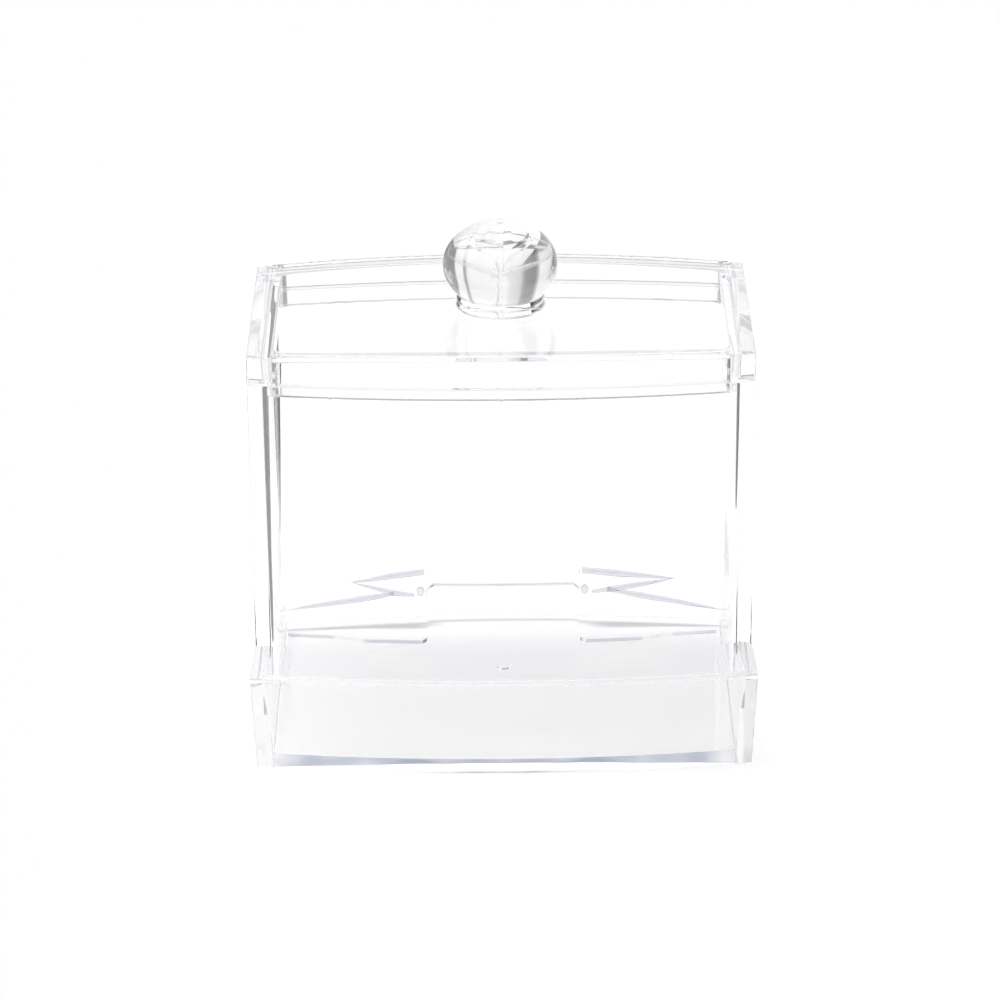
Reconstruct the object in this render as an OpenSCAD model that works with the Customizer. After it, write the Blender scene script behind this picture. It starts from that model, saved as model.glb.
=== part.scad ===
// Cotton swab holder: an open-ended container bonded into a shallow tray, with a lift-off lid.
// Swabs lie across the container and roll out through the mouth at the bottom of its front wall.
// Millimetres. The origin is the middle of the underside, the front faces -Y and +Z is up.

/* [Container] */
// Width of the container, lid and tray, across the side walls
body_w = 92.6; // [84:0.2:120]
// Depth of the container at its corners, without the bow of the front and back
body_d = 45; // [38:0.5:70]
// How far the front and back walls bow out at the middle
bow = 3.5; // [1:0.1:5]
// Height of the container's top edge, where the lid sits
body_top = 71.7; // [56:0.5:110]
// Thickness of the side walls
side_wall = 2.8; // [2.2:0.1:4]
// Thickness of the front and back walls
face_wall = 2.3; // [1.9:0.1:3.5]
// Radius of the outer upright corners
corner_r = 0.6; // [0.3:0.1:2]
// Radius of the inner upright corners
inner_r = 2; // [1:0.1:4]

/* [Mouth] */
// Width of the mouth under the front wall
mouth_w = 80; // [76:0.5:82]
// Gap between the tray's rim and the lower edge of the front wall
mouth_gap = 2.3; // [1:0.1:8]
// Width of the finger notch in the front wall
notch_w = 27.8; // [18:0.2:40]
// Height of the finger notch above the front wall's lower edge
notch_h = 11.8; // [6:0.2:22]
// Radius of the notch's upper and lower corners
notch_r = 1.5; // [0.5:0.1:3]
// How much lower the front wall reaches beside the notch than near the corners
lip_drop = 0.6; // [0.2:0.1:1.5]
// Distance from the middle to where that lower part begins
lip_x = 28.5; // [24:0.5:32]
// Length over which the edge changes from one height to the other
lip_run = 6; // [4:0.5:8]

/* [Spigot] */
// How far the container's lower end reaches into the tray
spigot_h = 8.6; // [4:0.2:14]
// Thickness of the spigot at the sides and the back
spigot_wall = 1.2; // [0.9:0.1:1.5]
// Glue gap between the spigot and the tray
glue_gap = 0.1; // [0.05:0.05:0.2]

/* [Tray] */
// Height of the tray's rim
rim_h = 18.8; // [14:0.2:30]
// How far the tray stands out in front of the container
tray_reach = 13.6; // [8:0.2:30]
// Thickness of the tray's floor
floor_t = 2.5; // [1.5:0.1:4]
// Thickness of the tray's front wall, and of its side walls at the rim in front of the container
tray_wall = 2.1; // [1.8:0.1:3]
// How far the tray's sides splay out between the container and the front corners
splay = 0.5; // [0.2:0.1:2]
// How much the tray's outside narrows from rim to base, on each side
tray_draft = 0.8; // [0.2:0.1:1.5]
// How much the tray's inside narrows between the spigot's end and the floor, on each side
inner_draft = 0.8; // [0.2:0.1:2]
// Diameter of the moulding mark on the floor
gate_d = 2.6; // [1:0.2:5]
// Height of the moulding mark
gate_h = 0.4; // [0.2:0.1:0.8]

/* [Lid] */
// Height of the lid's edge above the container, at the corners
skirt_h = 5.4; // [4:0.1:10]
// How much higher the lid's top is at the middle of its width than at the sides
crown = 1.25; // [0.5:0.05:3]
// Thickness of the lid's top
lid_t = 2; // [1.4:0.1:3]
// How far the plug reaches down into the container
plug_h = 2.9; // [2:0.1:8]
// Thickness of the plug's wall
plug_wall = 1.5; // [1:0.1:2.5]
// Gap between the plug and the container
plug_gap = 0.35; // [0.2:0.05:0.6]
// Width of each of the plug's narrow ribs
rib_w = 0.8; // [0.4:0.1:2]
// Gap left between a rib and the container
rib_gap = 0.1; // [0.05:0.05:0.15]
// Distance from the middle to the outer ribs
rib_x = 31; // [20:0.5:35]

/* [Knob] */
// Greatest radius of the flattened ball
knob_r = 10.7; // [8:0.1:15]
// Half the height of the flattened ball
knob_half_h = 8.1; // [6.5:0.1:11]
// How far the ball's lowest point lies below the lid's top
knob_sink = 0.3; // [0.1:0.1:1]
// Radius of the foot that joins the knob to the lid
foot_r = 8.2; // [6.4:0.1:9]
// Radius of the moulding nub on the ball's top
nub_r = 0.6; // [0.3:0.1:1]
// Height of the moulding nub
nub_h = 0.2; // [0.1:0.1:0.5]

/* [Hidden] */
$fn = 96;
big_fn = 720;
lip_steps = 8;
bow_steps = 16;
corner_steps = 6;
// How far shapes that are joined or cut reach past each other
lap = 1;
// How far below the ball's middle the foot ends inside it
foot_end = 3;
clear_acrylic = [0.86, 0.88, 0.93, 0.35];
half_w = body_w / 2;
half_d = body_d / 2;
// The container's middle lies behind the middle of the whole object, because the tray reaches forward
mid_y = tray_reach / 2;
shoulder_z = rim_h;
mouth_z = rim_h + mouth_gap;
spigot_z = rim_h - spigot_h;
spigot_side = side_wall - spigot_wall;
spigot_face = face_wall - spigot_wall;
lid_top = body_top + skirt_h;
plug_side = side_wall + plug_gap;
plug_face = face_wall + plug_gap;
crown_top = lid_top + crown;
lid_inner_side = plug_side + plug_wall;
lid_inner_face = plug_face + plug_wall;
knob_steps = 40;
knob_z = crown_top + knob_half_h - knob_sink;
// The tray's outline in the container's own frame
tray_front = half_d + tray_reach;
tray_half_w = half_w + splay;

// Radius of the arc that rises by a given height over a given width
function bow_radius(width, rise) = (width * width / 4 + rise * rise) / (2 * rise);

// Half depth of the container's outer surface at a distance from its middle
function bow_at(x) = half_d + bow - bow_radius(body_w, bow) + sqrt(pow(bow_radius(body_w, bow), 2) - x * x);

// The right-hand back quarter of a bowed plan: along the bow from the middle, then round the corner
function bowed_quarter(half_x, arc_y, big_r, r) =
    let (turn = asin((half_x - r) / (big_r - r)), corner_y = arc_y + (big_r - r) * cos(turn))
    concat(
        [for (i = [0:bow_steps]) let (a = turn * i / bow_steps) [big_r * sin(a), arc_y + big_r * cos(a)]],
        [for (i = [1:corner_steps]) let (a = turn + (90 - turn) * i / corner_steps)
            [half_x - r + r * sin(a), corner_y + r * cos(a)]]);

// The container's plan, set in from its outer surface by one distance at the sides and one at the faces
module bowed_plan(in_side, in_face, r) {
    outer_r = bow_radius(body_w, bow);
    quarter = bowed_quarter(half_w - in_side, half_d + bow - outer_r, outer_r - in_face, r);
    last = len(quarter) - 1;
    polygon(concat(
        quarter,
        [for (i = [last:-1:0]) [quarter[i][0], -quarter[i][1]]],
        [for (i = [1:last]) [-quarter[i][0], -quarter[i][1]]],
        [for (i = [last:-1:1]) [-quarter[i][0], quarter[i][1]]]));
}

// One straight-walled slab of the container's plan
module slab(z_low, z_high, in_side, in_face, r) {
    translate([0, mid_y, z_low])
        linear_extrude(z_high - z_low) bowed_plan(in_side, in_face, r);
}

// How far along the change between the two heights of the front wall's edge a point lies, from 0 to 1
function lip_share(x) = min(1, max(0, (lip_x + lip_run / 2 - abs(x)) / lip_run));

// Height of the front wall's lower edge: level near the corners, lower beside the notch
function lip_z(x) = mouth_z - lip_drop * (1 - cos(180 * lip_share(x))) / 2;

// The opening under the front wall with its finger notch, seen from the front
module mouth_outline() {
    half_mouth = mouth_w / 2;
    half_notch = notch_w / 2;
    low_z = mouth_z - lip_drop;
    curve_x = [for (step = [0:lip_steps]) lip_x + lip_run / 2 - lip_run * step / lip_steps];
    difference() {
        union() {
            polygon(concat(
                [[-half_mouth, spigot_z - lap], [half_mouth, spigot_z - lap], [half_mouth, mouth_z]],
                [for (x = curve_x) [x, lip_z(x)]],
                [for (step = [lip_steps:-1:0]) [-curve_x[step], lip_z(curve_x[step])]],
                [[-half_mouth, mouth_z]]));
            translate([-half_notch, low_z - lap])
                square([notch_w, notch_h + lap - notch_r]);
            translate([-half_notch + notch_r, low_z])
                square([notch_w - 2 * notch_r, notch_h]);
            for (side = [-1, 1])
                translate([side * (half_notch - notch_r), low_z + notch_h - notch_r]) circle(notch_r);
            translate([-half_notch - notch_r, low_z - lap])
                square([notch_w + 2 * notch_r, notch_r + lap]);
        }
        for (side = [-1, 1])
            translate([side * (half_notch + notch_r), low_z + notch_r]) circle(notch_r);
    }
}

// One ring of the container's walls, drawn in plan
module wall_ring(z_low, z_high, in_side, in_face, r) {
    translate([0, mid_y, z_low])
        linear_extrude(z_high - z_low)
            difference() {
                bowed_plan(in_side, in_face, r);
                bowed_plan(side_wall, face_wall, inner_r);
            }
}

// Four-walled container, open above and below, with a stepped lower end that stands in the tray
module container() {
    color(clear_acrylic)
    difference() {
        union() {
            wall_ring(shoulder_z, body_top, 0, 0, corner_r);
            wall_ring(spigot_z, shoulder_z, spigot_side, spigot_face, inner_r);
        }
        translate([0, mid_y - half_d / 2, 0])
            rotate([90, 0, 0])
                linear_extrude(half_d) mouth_outline();
    }
}

// The tray's plan: the container's sides, then the splayed sides up to the front corners
module tray_plan(in_side, in_front, in_back) {
    x_back = half_w - in_side;
    x_front = tray_half_w - in_front;
    y_back = half_d + bow - in_back;
    y_front = -tray_front - bow;
    polygon([[-x_back, y_back], [x_back, y_back], [x_back, -half_d], [x_front, -tray_front],
        [x_front, y_front], [-x_front, y_front], [-x_front, -tray_front], [-x_back, -half_d]]);
}

// One solid with the tray's plan between two heights, cut to a side profile and to a bowed front
module tray_block(z_low, z_high, in_side, in_front, in_back, profile, front_low_r, front_high_r) {
    big_r = bow_radius(body_w, bow);
    height = z_high - z_low;
    intersection() {
        translate([0, 0, z_low])
            linear_extrude(height) tray_plan(in_side, in_front, in_back);
        translate([0, -2 * half_d, 0])
            rotate([-90, 0, 0])
                linear_extrude(4 * half_d)
                    polygon(concat([for (p = profile) [p[0], -p[1]]], [for (p = profile) [-p[0], -p[1]]]),
                        [concat([for (i = [0:len(profile) - 1]) i],
                            [for (i = [len(profile) - 1:-1:0]) i + len(profile)])]);
        translate([0, big_r - tray_front - bow, z_low])
            cylinder(height, front_low_r, front_high_r, $fn = big_fn);
        translate([0, half_d + bow - big_r, z_low])
            cylinder(height, big_r - in_back, big_r - in_back, $fn = big_fn);
    }
}

// Shallow tray: the floor of the whole holder, a bowed front rim and a stepped seat for the container,
// whose walls end flush with the tray's inside
module tray() {
    big_r = bow_radius(body_w, bow);
    inner_half_w = half_w - side_wall;
    color(clear_acrylic)
    difference() {
        translate([0, mid_y, 0]) {
            difference() {
                tray_block(0, rim_h, 0, 0, 0,
                    [[tray_half_w, rim_h], [tray_half_w - tray_draft, 0]],
                    big_r - tray_draft, big_r);
                tray_block(floor_t, rim_h + lap, side_wall, tray_wall, face_wall,
                    [[tray_half_w, rim_h + lap], [tray_half_w - tray_wall, rim_h],
                        [inner_half_w, spigot_z], [inner_half_w - inner_draft, floor_t]],
                    big_r - tray_wall - tray_draft, big_r - tray_wall);
            }
            translate([0, 0, floor_t - lap]) cylinder(gate_h + lap, d = gate_d);
        }
        slab(spigot_z - glue_gap, rim_h + lap, spigot_side - glue_gap, spigot_face - glue_gap, inner_r);
    }
}

// Everything below the lid's crowned top, or below its underside when lowered
module under_crown(lower) {
    big_r = bow_radius(body_w, crown);
    turn = asin((half_w + lap) / big_r);
    translate([0, mid_y + 2 * half_d, 0])
        rotate([90, 0, 0])
            linear_extrude(4 * half_d)
                polygon(concat(
                    [[half_w + lap, 0], [-half_w - lap, 0]],
                    [for (i = [-bow_steps:bow_steps]) let (a = turn * i / bow_steps)
                        [big_r * sin(a), crown_top - lower - big_r * (1 - cos(a))]]));
}

// Half of the flattened ball's outline, an ellipse, from its lowest point to its highest
module knob_outline() {
    polygon([for (step = [0:knob_steps])
        let (angle = 180 * step / knob_steps - 90)
        [knob_r * cos(angle), knob_half_h * sin(angle)]]);
}

// Lift-off lid with its knob, one moulding
module lid() {
    color(clear_acrylic) {
        difference() {
            union() {
                intersection() {
                    slab(body_top, crown_top + lap, 0, 0, corner_r);
                    under_crown(0);
                }
                slab(body_top - plug_h, body_top + lap, plug_side, plug_face, inner_r - plug_gap);
                for (x = [-rib_x, 0, rib_x], side = [-1, 1])
                    translate([x, mid_y + side * (bow_at(x) - face_wall - rib_gap - plug_wall / 2),
                        body_top - plug_h / 2])
                        cube([rib_w, plug_wall, plug_h], center = true);
            }
            intersection() {
                slab(body_top - plug_h - lap, crown_top, lid_inner_side, lid_inner_face, inner_r);
                under_crown(lid_t);
            }
        }
        translate([0, mid_y, knob_z]) rotate_extrude() knob_outline();
        translate([0, mid_y, crown_top - lap]) cylinder(knob_z - foot_end - crown_top + lap, foot_r, foot_r);
        translate([0, mid_y, knob_z + knob_half_h - lap]) cylinder(nub_h + lap, nub_r, nub_r);
    }
}

container();
tray();
lid();
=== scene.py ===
import bmesh
import bpy
from math import radians
from mathutils import Matrix, Vector


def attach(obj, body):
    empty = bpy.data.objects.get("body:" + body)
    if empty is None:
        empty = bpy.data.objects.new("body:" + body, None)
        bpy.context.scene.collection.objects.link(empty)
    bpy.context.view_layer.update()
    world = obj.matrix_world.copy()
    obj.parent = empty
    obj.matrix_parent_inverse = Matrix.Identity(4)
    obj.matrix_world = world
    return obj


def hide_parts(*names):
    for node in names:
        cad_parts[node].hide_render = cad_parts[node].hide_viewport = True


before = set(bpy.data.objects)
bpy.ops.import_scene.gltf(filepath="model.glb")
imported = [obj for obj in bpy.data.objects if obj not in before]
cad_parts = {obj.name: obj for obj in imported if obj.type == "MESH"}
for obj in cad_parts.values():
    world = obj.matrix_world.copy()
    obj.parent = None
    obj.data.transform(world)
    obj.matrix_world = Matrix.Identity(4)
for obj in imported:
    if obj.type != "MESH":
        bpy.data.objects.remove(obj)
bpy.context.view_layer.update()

# Container
# Four walls of colourless acrylic, moulded in one shot, with a stepped lower end
# that is glued into the tray. The edges keep the small radius of the mould.
merge_distance = 0.000001
mould_radius = 0.00025
hard_angle = radians(32)
inward_shift = 0.00001
tray_rim = 0.0188
seat_middle = Vector((0, 0.0068, 0))
seat_half_width = 0.0463
seat_half_depth = 0.026
container_edges_from = 0.0225


def copy_solid(name):
    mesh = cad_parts[name].data.copy()
    solid = bmesh.new()
    solid.from_mesh(mesh)
    bmesh.ops.remove_doubles(solid, verts=solid.verts, dist=merge_distance)
    return mesh, solid


def round_edges(solid, edges):
    bmesh.ops.bevel(
        solid, geom=edges, offset=mould_radius, segments=3, profile=0.5, affect="EDGES",
        clamp_overlap=False, material=-1,
    )
    solid.normal_update()
    for edge in solid.edges:
        edge.smooth = edge.calc_face_angle(0) < hard_angle


def from_seat_middle(middle):
    offset = middle - seat_middle
    return Vector((offset.x / seat_half_width, offset.y / seat_half_depth, 0))


def finish_moulding(solid, mesh, name):
    for vert in solid.verts:
        vert.co -= vert.normal * inward_shift
    solid.to_mesh(mesh)
    solid.free()
    mesh.shade_smooth()
    moulding = bpy.data.objects.new(name, mesh)
    bpy.context.scene.collection.objects.link(moulding)
    moulding.modifiers.new("shade", "WEIGHTED_NORMAL").keep_sharp = True
    return moulding


def dress(moulding, node, body):
    moulding.data.materials.clear()
    moulding.data.materials.append(acrylic)
    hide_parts(node)
    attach(moulding, body)


container_mesh, container_bm = copy_solid("container")
round_edges(container_bm, [
    edge for edge in container_bm.edges
    if edge.calc_face_angle(0) > hard_angle
    and min(vert.co.z for vert in edge.verts) > container_edges_from
])
container_joint = container_bm.faces.layers.float.new("cemented")
for face in container_bm.faces:
    middle = face.calc_center_median()
    faces_out = face.normal.dot(from_seat_middle(middle)) > 0.5
    if middle.z < tray_rim + 0.00005 and (face.normal.z < -0.9 or faces_out):
        face[container_joint] = 1.0
container = finish_moulding(container_bm, container_mesh, "container_walls")

acrylic = bpy.data.materials.new("clear_acrylic")
acrylic.use_nodes = True
nodes = acrylic.node_tree.nodes
links = acrylic.node_tree.links
shader = nodes["Principled BSDF"]
shader.inputs["Roughness"].default_value = 0.0
shader.inputs["IOR"].default_value = 1.49
shader.inputs["Transmission Weight"].default_value = 1.0
place = nodes.new("ShaderNodeTexCoord")
cloud = nodes.new("ShaderNodeTexNoise")
cloud.inputs["Scale"].default_value = 60
cloud.inputs["Detail"].default_value = 2
links.new(place.outputs["Object"], cloud.inputs["Vector"])
tint = nodes.new("ShaderNodeValToRGB")
tint.color_ramp.elements[0].color = (0.984, 0.979, 0.986, 1)
tint.color_ramp.elements[1].color = (0.998, 0.995, 0.997, 1)
links.new(cloud.outputs["Fac"], tint.inputs[0])
links.new(tint.outputs[0], shader.inputs["Base Color"])
ripple = nodes.new("ShaderNodeTexNoise")
ripple.inputs["Scale"].default_value = 90
ripple.inputs["Detail"].default_value = 1
links.new(place.outputs["Object"], ripple.inputs["Vector"])
waviness = nodes.new("ShaderNodeBump")
waviness.inputs["Distance"].default_value = 0.0000012
links.new(ripple.outputs["Fac"], waviness.inputs["Height"])
axes = nodes.new("ShaderNodeSeparateXYZ")
links.new(place.outputs["Object"], axes.inputs[0])
from_middle = nodes.new("ShaderNodeMath")
from_middle.operation = "ABSOLUTE"
links.new(axes.outputs[0], from_middle.inputs[0])
seam = nodes.new("ShaderNodeMapRange")
seam.inputs["From Min"].default_value = 0.00018
seam.inputs["From Max"].default_value = 0.00006
links.new(from_middle.outputs[0], seam.inputs["Value"])
above_lid = nodes.new("ShaderNodeMath")
above_lid.operation = "GREATER_THAN"
above_lid.inputs[1].default_value = 0.0768
links.new(axes.outputs[2], above_lid.inputs[0])
seam_on_lid = nodes.new("ShaderNodeMath")
seam_on_lid.operation = "MULTIPLY"
links.new(seam.outputs[0], seam_on_lid.inputs[0])
links.new(above_lid.outputs[0], seam_on_lid.inputs[1])
ridge = nodes.new("ShaderNodeBump")
ridge.inputs["Distance"].default_value = 0.00004
links.new(seam_on_lid.outputs[0], ridge.inputs["Height"])
links.new(waviness.outputs[0], ridge.inputs["Normal"])
links.new(ridge.outputs[0], shader.inputs["Normal"])
# Painted shade: shadow rays pass 0.97 of the light through the acrylic below 70 mm and only 0.84 above 73
# mm, so the lid casts a darker shadow on the table than clear acrylic would.
lid_shadow_darkening = nodes.new("ShaderNodeMapRange")
lid_shadow_darkening.inputs["From Min"].default_value = 0.070
lid_shadow_darkening.inputs["From Max"].default_value = 0.073
lid_shadow_darkening.inputs["To Min"].default_value = 0.97
lid_shadow_darkening.inputs["To Max"].default_value = 0.84
links.new(axes.outputs[2], lid_shadow_darkening.inputs["Value"])
see_through = nodes.new("ShaderNodeBsdfTransparent")
links.new(lid_shadow_darkening.outputs[0], see_through.inputs["Color"])
path = nodes.new("ShaderNodeLightPath")
mix = nodes.new("ShaderNodeMixShader")
links.new(path.outputs["Is Shadow Ray"], mix.inputs[0])
links.new(shader.outputs[0], mix.inputs[1])
links.new(see_through.outputs[0], mix.inputs[2])
cement = nodes.new("ShaderNodeBsdfTransparent")
cemented = nodes.new("ShaderNodeAttribute")
cemented.attribute_name = "cemented"
joint = nodes.new("ShaderNodeMixShader")
links.new(cemented.outputs["Fac"], joint.inputs[0])
links.new(mix.outputs[0], joint.inputs[1])
links.new(cement.outputs[0], joint.inputs[2])
# Painted light: a ray that has bounced more than 13.5 times inside the acrylic ends in a pale grey-blue
# glow, so light trapped in the walls shows pale instead of dark.
painted_glow = nodes.new("ShaderNodeEmission")
painted_glow.inputs["Color"].default_value = (0.86, 0.86, 0.90, 1)
glow_after_many_bounces = nodes.new("ShaderNodeMath")
glow_after_many_bounces.operation = "GREATER_THAN"
glow_after_many_bounces.inputs[1].default_value = 13.5
links.new(path.outputs["Ray Depth"], glow_after_many_bounces.inputs[0])
painted_glow_mix = nodes.new("ShaderNodeMixShader")
links.new(glow_after_many_bounces.outputs[0], painted_glow_mix.inputs[0])
links.new(joint.outputs[0], painted_glow_mix.inputs[1])
links.new(painted_glow.outputs[0], painted_glow_mix.inputs[2])
links.new(painted_glow_mix.outputs[0], nodes["Material Output"].inputs["Surface"])
acrylic.cycles.emission_sampling = "NONE"
dress(container, "container", "holder")

# Tray
# Floor, low walls and bowed front rim in one moulding of the same acrylic. The small round mark
# in the middle of its floor is where the plastic entered the mould.
tray_mesh, tray_bm = copy_solid("tray")
mark = Vector((0, 0.0068, 0.0029))
mark_reach = 0.002
seat_bottom = 0.0100
seat_front = -0.0165
sharp_edges = []
for edge in tray_bm.edges:
    start, end = (vert.co for vert in edge.verts)
    seat_edge = (start.z + end.z) / 2 > 0.0095 and min(start.y, end.y) > seat_front
    if edge.calc_face_angle(0) > hard_angle and not seat_edge and (start - mark).length > mark_reach:
        sharp_edges.append(edge)
round_edges(tray_bm, sharp_edges)
tray_joint = tray_bm.faces.layers.float.new("cemented")
for face in tray_bm.faces:
    middle = face.calc_center_median()
    in_seat = middle.z > seat_bottom + 0.00005 and middle.y > seat_front
    faces_in = face.normal.dot(from_seat_middle(middle)) < -0.5
    if in_seat and (face.normal.z > 0.9 or faces_in):
        face[tray_joint] = 1.0
tray = finish_moulding(tray_bm, tray_mesh, "tray_moulding")
dress(tray, "tray", "holder")

# Lid
# Top, edge, plug ring with its narrow ribs and ball knob in one moulding. The mould's parting line
# runs over the knob and the lid's top as a hair-thin ridge.
lid_mesh, lid_bm = copy_solid("lid")
nub = Vector((0, 0.0068, 0.0943))
nub_reach = 0.001
outer_rib_x = 0.031
half_rib = 0.0006
sharp_edges = []
for edge in lid_bm.edges:
    start, end = (vert.co for vert in edge.verts)
    off_rib = min(abs(start.x), abs(abs(start.x) - outer_rib_x))
    rib_edge = abs(start.z - end.z) > 0.001 and off_rib < half_rib
    if edge.calc_face_angle(0) > hard_angle and not rib_edge and (start - nub).length > nub_reach:
        sharp_edges.append(edge)
round_edges(lid_bm, sharp_edges)
lid = finish_moulding(lid_bm, lid_mesh, "lid_moulding")
dress(lid, "lid", "lid")

# Cement lines
# Solvent cement that ran out of the glued joint and set on the back wall in two zigzags, one on each
# side, with a drop at each inner end. Its colour is painted light set by which way each face turns: warm
# below, grey, and blue above, standing in for the coloured edges that the lamp and the room give it.
cement_curve = bpy.data.curves.new("cement_lines", "CURVE")
cement_curve.dimensions = "3D"
back_wall_radius = 305.7
back_wall_y = 30.5
strokes_lowered = 0.7
cement_curve.bevel_depth = 0.0007
cement_curve.bevel_resolution = 2
cement_curve.use_fill_caps = True
for stroke in (
    ((-15.4, 13.2, 0.9), (-22, 12.5, 0.9), (-27, 11.6, 0.5), (-30.1, 11.2, 0.1)),
    ((-29.6, 11.1, 0.1), (-25, 9.8, 0.6), (-22, 8.9, 0.9), (-17.5, 8.0, 0.5)),
    ((-21.5, 8.5, 0.5), (-27, 7.9, 0.9), (-35, 7.0, 0.7), (-42.6, 6.0, 0.15)),
    ((15.3, 13.3, 0.9), (22, 12.8, 1.0), (29, 12.2, 0.6), (33.9, 11.7, 0.1)),
    ((33.2, 11.6, 0.1), (27, 10.4, 0.7), (22, 9.4, 0.9), (17.5, 8.5, 0.5)),
    ((20.5, 9.0, 0.5), (27, 8.1, 0.9), (35, 6.8, 0.7), (42.8, 5.4, 0.15)),
    ((-43.1, 6.8, 0.3), (-43.2, 2.9, 0.3)),
    ((43.2, 6.2, 0.3), (43.3, 3.0, 0.3)),
):
    spline = cement_curve.splines.new("POLY")
    spline.points.add(len(stroke) - 1)
    for point, (x, z, thickness) in zip(spline.points, stroke):
        wall_y = back_wall_y - back_wall_radius + (back_wall_radius ** 2 - x * x) ** 0.5
        y = wall_y - 0.8 * thickness
        point.co = (x / 1000, y / 1000, (z - strokes_lowered) / 1000, 1)
        point.radius = thickness
cement_path = bpy.data.objects.new("cement_path", cement_curve)
cement_mesh = bpy.data.meshes.new_from_object(cement_path)
bpy.data.objects.remove(cement_path)
cement_bm = bmesh.new()
cement_bm.from_mesh(cement_mesh)
for x, z in ((-16.2, 8.1), (15.9, 8.3)):
    drop = bmesh.ops.create_uvsphere(cement_bm, u_segments=24, v_segments=12, radius=0.0008)
    bmesh.ops.scale(cement_bm, vec=(1, 0.5, 1.3), verts=drop["verts"])
    bmesh.ops.translate(cement_bm, vec=(x / 1000, 0.0296, z / 1000), verts=drop["verts"])
cement_bm.to_mesh(cement_mesh)
cement_bm.free()
cement_mesh.shade_smooth()
cement_lines = bpy.data.objects.new("cement_lines", cement_mesh)
bpy.context.scene.collection.objects.link(cement_lines)
set_cement = bpy.data.materials.new("set_cement")
set_cement.use_nodes = True
cement_nodes = set_cement.node_tree.nodes
cement_links = set_cement.node_tree.links
cement_shader = cement_nodes["Principled BSDF"]
cement_shader.inputs["Roughness"].default_value = 0.12
cement_shader.inputs["IOR"].default_value = 1.3
cement_shader.inputs["Transmission Weight"].default_value = 1.0
facing = cement_nodes.new("ShaderNodeNewGeometry")
facing_axes = cement_nodes.new("ShaderNodeSeparateXYZ")
cement_links.new(facing.outputs["Normal"], facing_axes.inputs[0])
facing_up = cement_nodes.new("ShaderNodeMapRange")
facing_up.inputs["From Min"].default_value = -1.0
cement_links.new(facing_axes.outputs[2], facing_up.inputs["Value"])
# Painted light: the cement's colour is set by which way each face turns, warm on faces turned down, grey,
# and blue on faces turned up, standing in for coloured edges of light.
painted_fringe = cement_nodes.new("ShaderNodeValToRGB")
painted_fringe.color_ramp.elements[0].position = 0.35
painted_fringe.color_ramp.elements[0].color = (0.97, 0.86, 0.76, 1)
painted_fringe.color_ramp.elements[1].position = 0.95
painted_fringe.color_ramp.elements[1].color = (0.66, 0.75, 0.95, 1)
painted_fringe_middle = painted_fringe.color_ramp.elements.new(0.7)
painted_fringe_middle.color = (0.66, 0.65, 0.68, 1)
cement_links.new(facing_up.outputs[0], painted_fringe.inputs[0])
cement_links.new(painted_fringe.outputs[0], cement_shader.inputs["Base Color"])
cement_mesh.materials.clear()
cement_mesh.materials.append(set_cement)
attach(cement_lines, "holder")

# Floor
# A white table top, narrow from left to right. It glows faintly to the camera, to mirrors and through
# glass, so that it reads as plain white, and still takes the object's soft shadow.
floor_bm = bmesh.new()
bmesh.ops.create_grid(floor_bm, x_segments=1, y_segments=1, size=0.4)
bmesh.ops.scale(floor_bm, vec=(0.28, 1, 1), verts=floor_bm.verts)
bmesh.ops.translate(floor_bm, vec=(0.03, 0, 0), verts=floor_bm.verts)
floor_mesh = bpy.data.meshes.new("floor")
floor_bm.to_mesh(floor_mesh)
floor_bm.free()
floor = bpy.data.objects.new("floor", floor_mesh)
bpy.context.scene.collection.objects.link(floor)
floor.location.z = -0.0002
table_top = bpy.data.materials.new("white_table")
table_top.use_nodes = True
floor_nodes = table_top.node_tree.nodes
floor_links = table_top.node_tree.links
floor_shader = floor_nodes["Principled BSDF"]
floor_shader.inputs["Base Color"].default_value = (0.86, 0.86, 0.86, 1)
floor_shader.inputs["Roughness"].default_value = 0.8
floor_shader.inputs["Specular IOR Level"].default_value = 0.0
floor_shader.inputs["Emission Color"].default_value = (1, 1, 1, 1)
floor_path = floor_nodes.new("ShaderNodeLightPath")
seen = floor_nodes.new("ShaderNodeMath")
seen.operation = "ADD"
seen.use_clamp = True
floor_links.new(floor_path.outputs["Is Glossy Ray"], seen.inputs[0])
floor_links.new(floor_path.outputs["Is Transmission Ray"], seen.inputs[1])
seen_glow = floor_nodes.new("ShaderNodeMath")
seen_glow.operation = "MULTIPLY"
seen_glow.inputs[1].default_value = 0.36
floor_links.new(seen.outputs[0], seen_glow.inputs[0])
glow = floor_nodes.new("ShaderNodeMath")
glow.operation = "MULTIPLY_ADD"
glow.inputs[1].default_value = 0.42
floor_links.new(floor_path.outputs["Is Camera Ray"], glow.inputs[0])
floor_links.new(seen_glow.outputs[0], glow.inputs[2])
floor_links.new(glow.outputs[0], floor_shader.inputs["Emission Strength"])
floor_mesh.materials.append(table_top)

# Light
# The surroundings that a clear object shows in its edges, painted into the world by direction: a white
# backdrop with a dark rail, a bright left side, dark stands and a dim room. One lamp lights from above.
world = bpy.data.worlds.new("studio")
bpy.context.scene.world = world
world.use_nodes = True
world_nodes = world.node_tree.nodes
world_links = world.node_tree.links
direction = world_nodes.new("ShaderNodeTexCoord")
axes = world_nodes.new("ShaderNodeSeparateXYZ")
world_links.new(direction.outputs["Generated"], axes.inputs[0])
turned = world_nodes.new("ShaderNodeMath")
turned.operation = "ARCTAN2"
world_links.new(axes.outputs[0], turned.inputs[0])
world_links.new(axes.outputs[1], turned.inputs[1])
around = world_nodes.new("ShaderNodeMapRange")
around.inputs["From Min"].default_value = radians(-180)
around.inputs["From Max"].default_value = radians(180)
world_links.new(turned.outputs[0], around.inputs["Value"])
room = world_nodes.new("ShaderNodeValToRGB")
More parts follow.
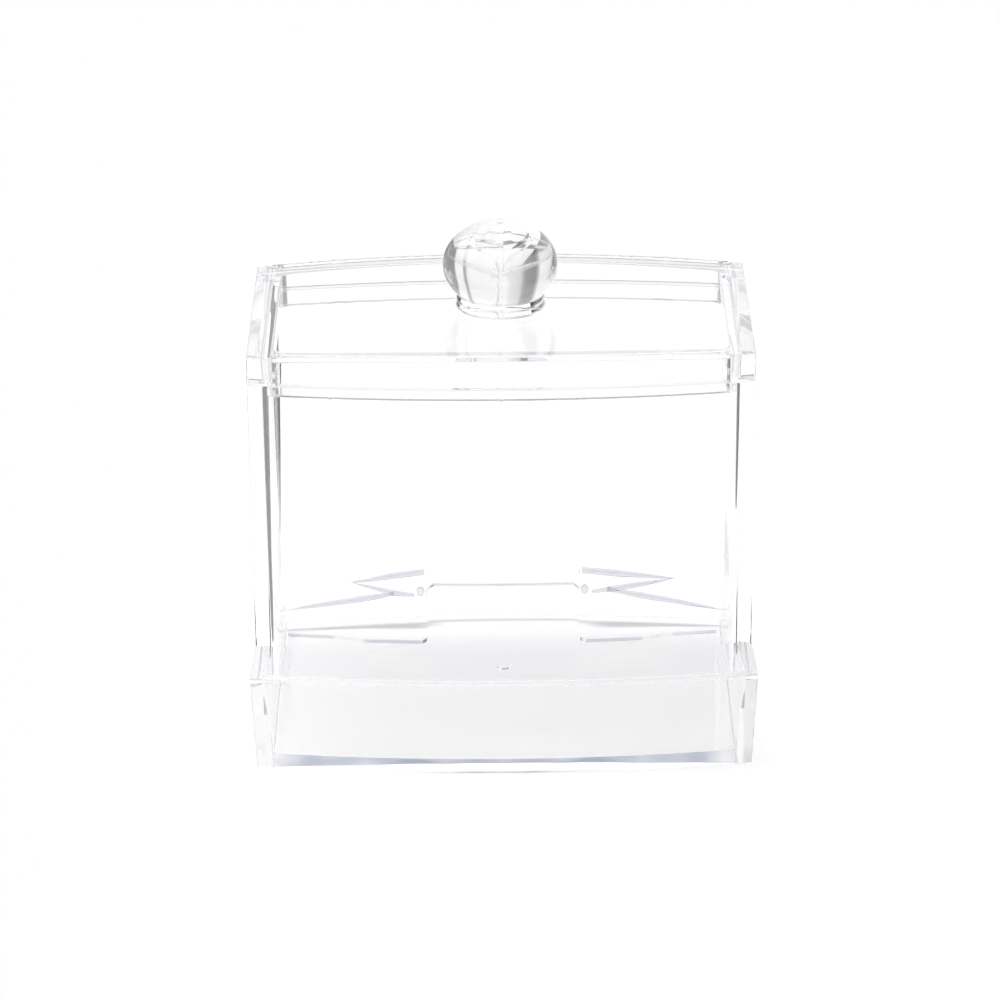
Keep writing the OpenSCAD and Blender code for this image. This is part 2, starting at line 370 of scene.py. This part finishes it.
room.color_ramp.elements.remove(room.color_ramp.elements[1])
room.color_ramp.elements[0].position = 0.0
room.color_ramp.elements[0].color = (0.25, 0.25, 0.25, 1)
for degrees_right, strength in (
    (-130, 0.3), (-108, 0.5), (-100, 1.0), (-60, 1.0), (-34, 0.95), (-31, 0.5), (-28, 0.28),
    (-20, 0.34), (-17, 0.45), (-15, 0.72), (-7, 0.85), (-4, 1.0), (25, 1.0), (27.5, 0.5),
    (28.5, 0.3), (30, 0.6), (31, 1.0), (41, 1.0), (44, 0.25), (62, 0.25), (68, 0.5), (75, 0.75),
    (115, 0.7), (125, 0.3), (140, 0.25),
):
    stop = room.color_ramp.elements.new((degrees_right + 180) / 360)
    stop.color = (strength, strength, strength, 1)
world_links.new(around.outputs[0], room.inputs[0])
upward = world_nodes.new("ShaderNodeMapRange")
upward.inputs["From Min"].default_value = 0.0
upward.inputs["From Max"].default_value = 1.0
world_links.new(axes.outputs[2], upward.inputs["Value"])
height = world_nodes.new("ShaderNodeValToRGB")
height.color_ramp.elements.remove(height.color_ramp.elements[1])
height.color_ramp.elements[0].position = 0.0
height.color_ramp.elements[0].color = (1, 1, 1, 1)
for up, strength in ((0.08, 0.97), (0.33, 0.95), (0.40, 1.0), (0.62, 1.0), (0.75, 0.87), (1.0, 0.87)):
    stop = height.color_ramp.elements.new(up)
    stop.color = (strength, strength, strength, 1)
world_links.new(upward.outputs[0], height.inputs[0])
rail = world_nodes.new("ShaderNodeValToRGB")
rail.color_ramp.elements.remove(rail.color_ramp.elements[1])
rail.color_ramp.elements[0].position = 0.4478
rail.color_ramp.elements[0].color = (1, 1, 1, 1)
for up, color in (
    (0.4500, (0.38, 0.43, 0.56)), (0.46, (0.46, 0.47, 0.52)), (0.475, (0.68, 0.67, 0.67)),
    (0.50, (0.8, 0.8, 0.8)), (0.52, (1, 1, 1)),
):
    stop = rail.color_ramp.elements.new(up)
    stop.color = (*color, 1)
world_links.new(upward.outputs[0], rail.inputs[0])
off_middle = world_nodes.new("ShaderNodeMath")
off_middle.operation = "ABSOLUTE"
world_links.new(axes.outputs[0], off_middle.inputs[0])
rail_end = world_nodes.new("ShaderNodeMapRange")
rail_end.inputs["From Min"].default_value = 0.125
rail_end.inputs["From Max"].default_value = 0.108
world_links.new(off_middle.outputs[0], rail_end.inputs["Value"])
backdrop = world_nodes.new("ShaderNodeMix")
backdrop.data_type = "RGBA"
backdrop.blend_type = "MULTIPLY"
world_links.new(rail_end.outputs[0], backdrop.inputs[0])
world_links.new(height.outputs[0], backdrop.inputs[6])
world_links.new(rail.outputs[0], backdrop.inputs[7])
below_table = world_nodes.new("ShaderNodeMapRange")
below_table.inputs["From Min"].default_value = -0.38
below_table.inputs["From Max"].default_value = -0.33
below_table.inputs["To Min"].default_value = 0.3
below_table.inputs["To Max"].default_value = 1.0
world_links.new(axes.outputs[2], below_table.inputs["Value"])
dimmed = world_nodes.new("ShaderNodeMix")
dimmed.data_type = "RGBA"
dimmed.blend_type = "MULTIPLY"
dimmed.inputs[0].default_value = 1.0
world_links.new(backdrop.outputs[2], dimmed.inputs[6])
world_links.new(below_table.outputs[0], dimmed.inputs[7])
studio = world_nodes.new("ShaderNodeMix")
studio.data_type = "RGBA"
studio.blend_type = "MULTIPLY"
studio.inputs[0].default_value = 1.0
world_links.new(room.outputs[0], studio.inputs[6])
world_links.new(dimmed.outputs[2], studio.inputs[7])
world_path = world_nodes.new("ShaderNodeLightPath")
mirrored = world_nodes.new("ShaderNodeMath")
mirrored.operation = "ADD"
mirrored.use_clamp = True
world_links.new(world_path.outputs["Is Glossy Ray"], mirrored.inputs[0])
world_links.new(world_path.outputs["Is Transmission Ray"], mirrored.inputs[1])
lighting = world_nodes.new("ShaderNodeMix")
lighting.data_type = "RGBA"
lighting.inputs[6].default_value = (0.25, 0.25, 0.25, 1)
world_links.new(mirrored.outputs[0], lighting.inputs[0])
world_links.new(studio.outputs[2], lighting.inputs[7])
plain = world_nodes.new("ShaderNodeMix")
plain.data_type = "RGBA"
plain.inputs[7].default_value = (1, 1, 1, 1)
world_links.new(world_path.outputs["Is Camera Ray"], plain.inputs[0])
world_links.new(lighting.outputs[2], plain.inputs[6])
world_links.new(plain.outputs[2], world_nodes["Background"].inputs["Color"])
world_nodes["Background"].inputs["Strength"].default_value = 1.0
key = bpy.data.lights.new("key", "AREA")
key.energy = 8.6
key.shape = "RECTANGLE"
key.size = 0.45
key.size_y = 0.1
key_object = bpy.data.objects.new("key", key)
key_object.location = (-0.18, 0.18, 1.1)
key_object.visible_glossy = False
key_object.visible_transmission = False
bpy.context.scene.collection.objects.link(key_object)

bpy.context.scene.view_settings.view_transform = "Standard"
bpy.context.scene.cycles.max_bounces = 24
bpy.context.scene.cycles.transmission_bounces = 24
bpy.context.scene.cycles.glossy_bounces = 16

# Camera
# It looks down on the holder from the front at 24.8 degrees, almost centred.
camera = bpy.data.cameras.new("camera")
camera.lens = 153.7
camera.sensor_width = 36
camera.clip_start = 0.05
camera_object = bpy.data.objects.new("camera", camera)
camera_object.location = (-0.00042, -0.728, 0.3775)
turn = Matrix.Rotation(radians(65.2), 3, "X") @ Matrix.Rotation(radians(-0.5), 3, "Z")
camera_object.rotation_euler = turn.to_euler()
bpy.context.scene.collection.objects.link(camera_object)
bpy.context.scene.camera = camera_object
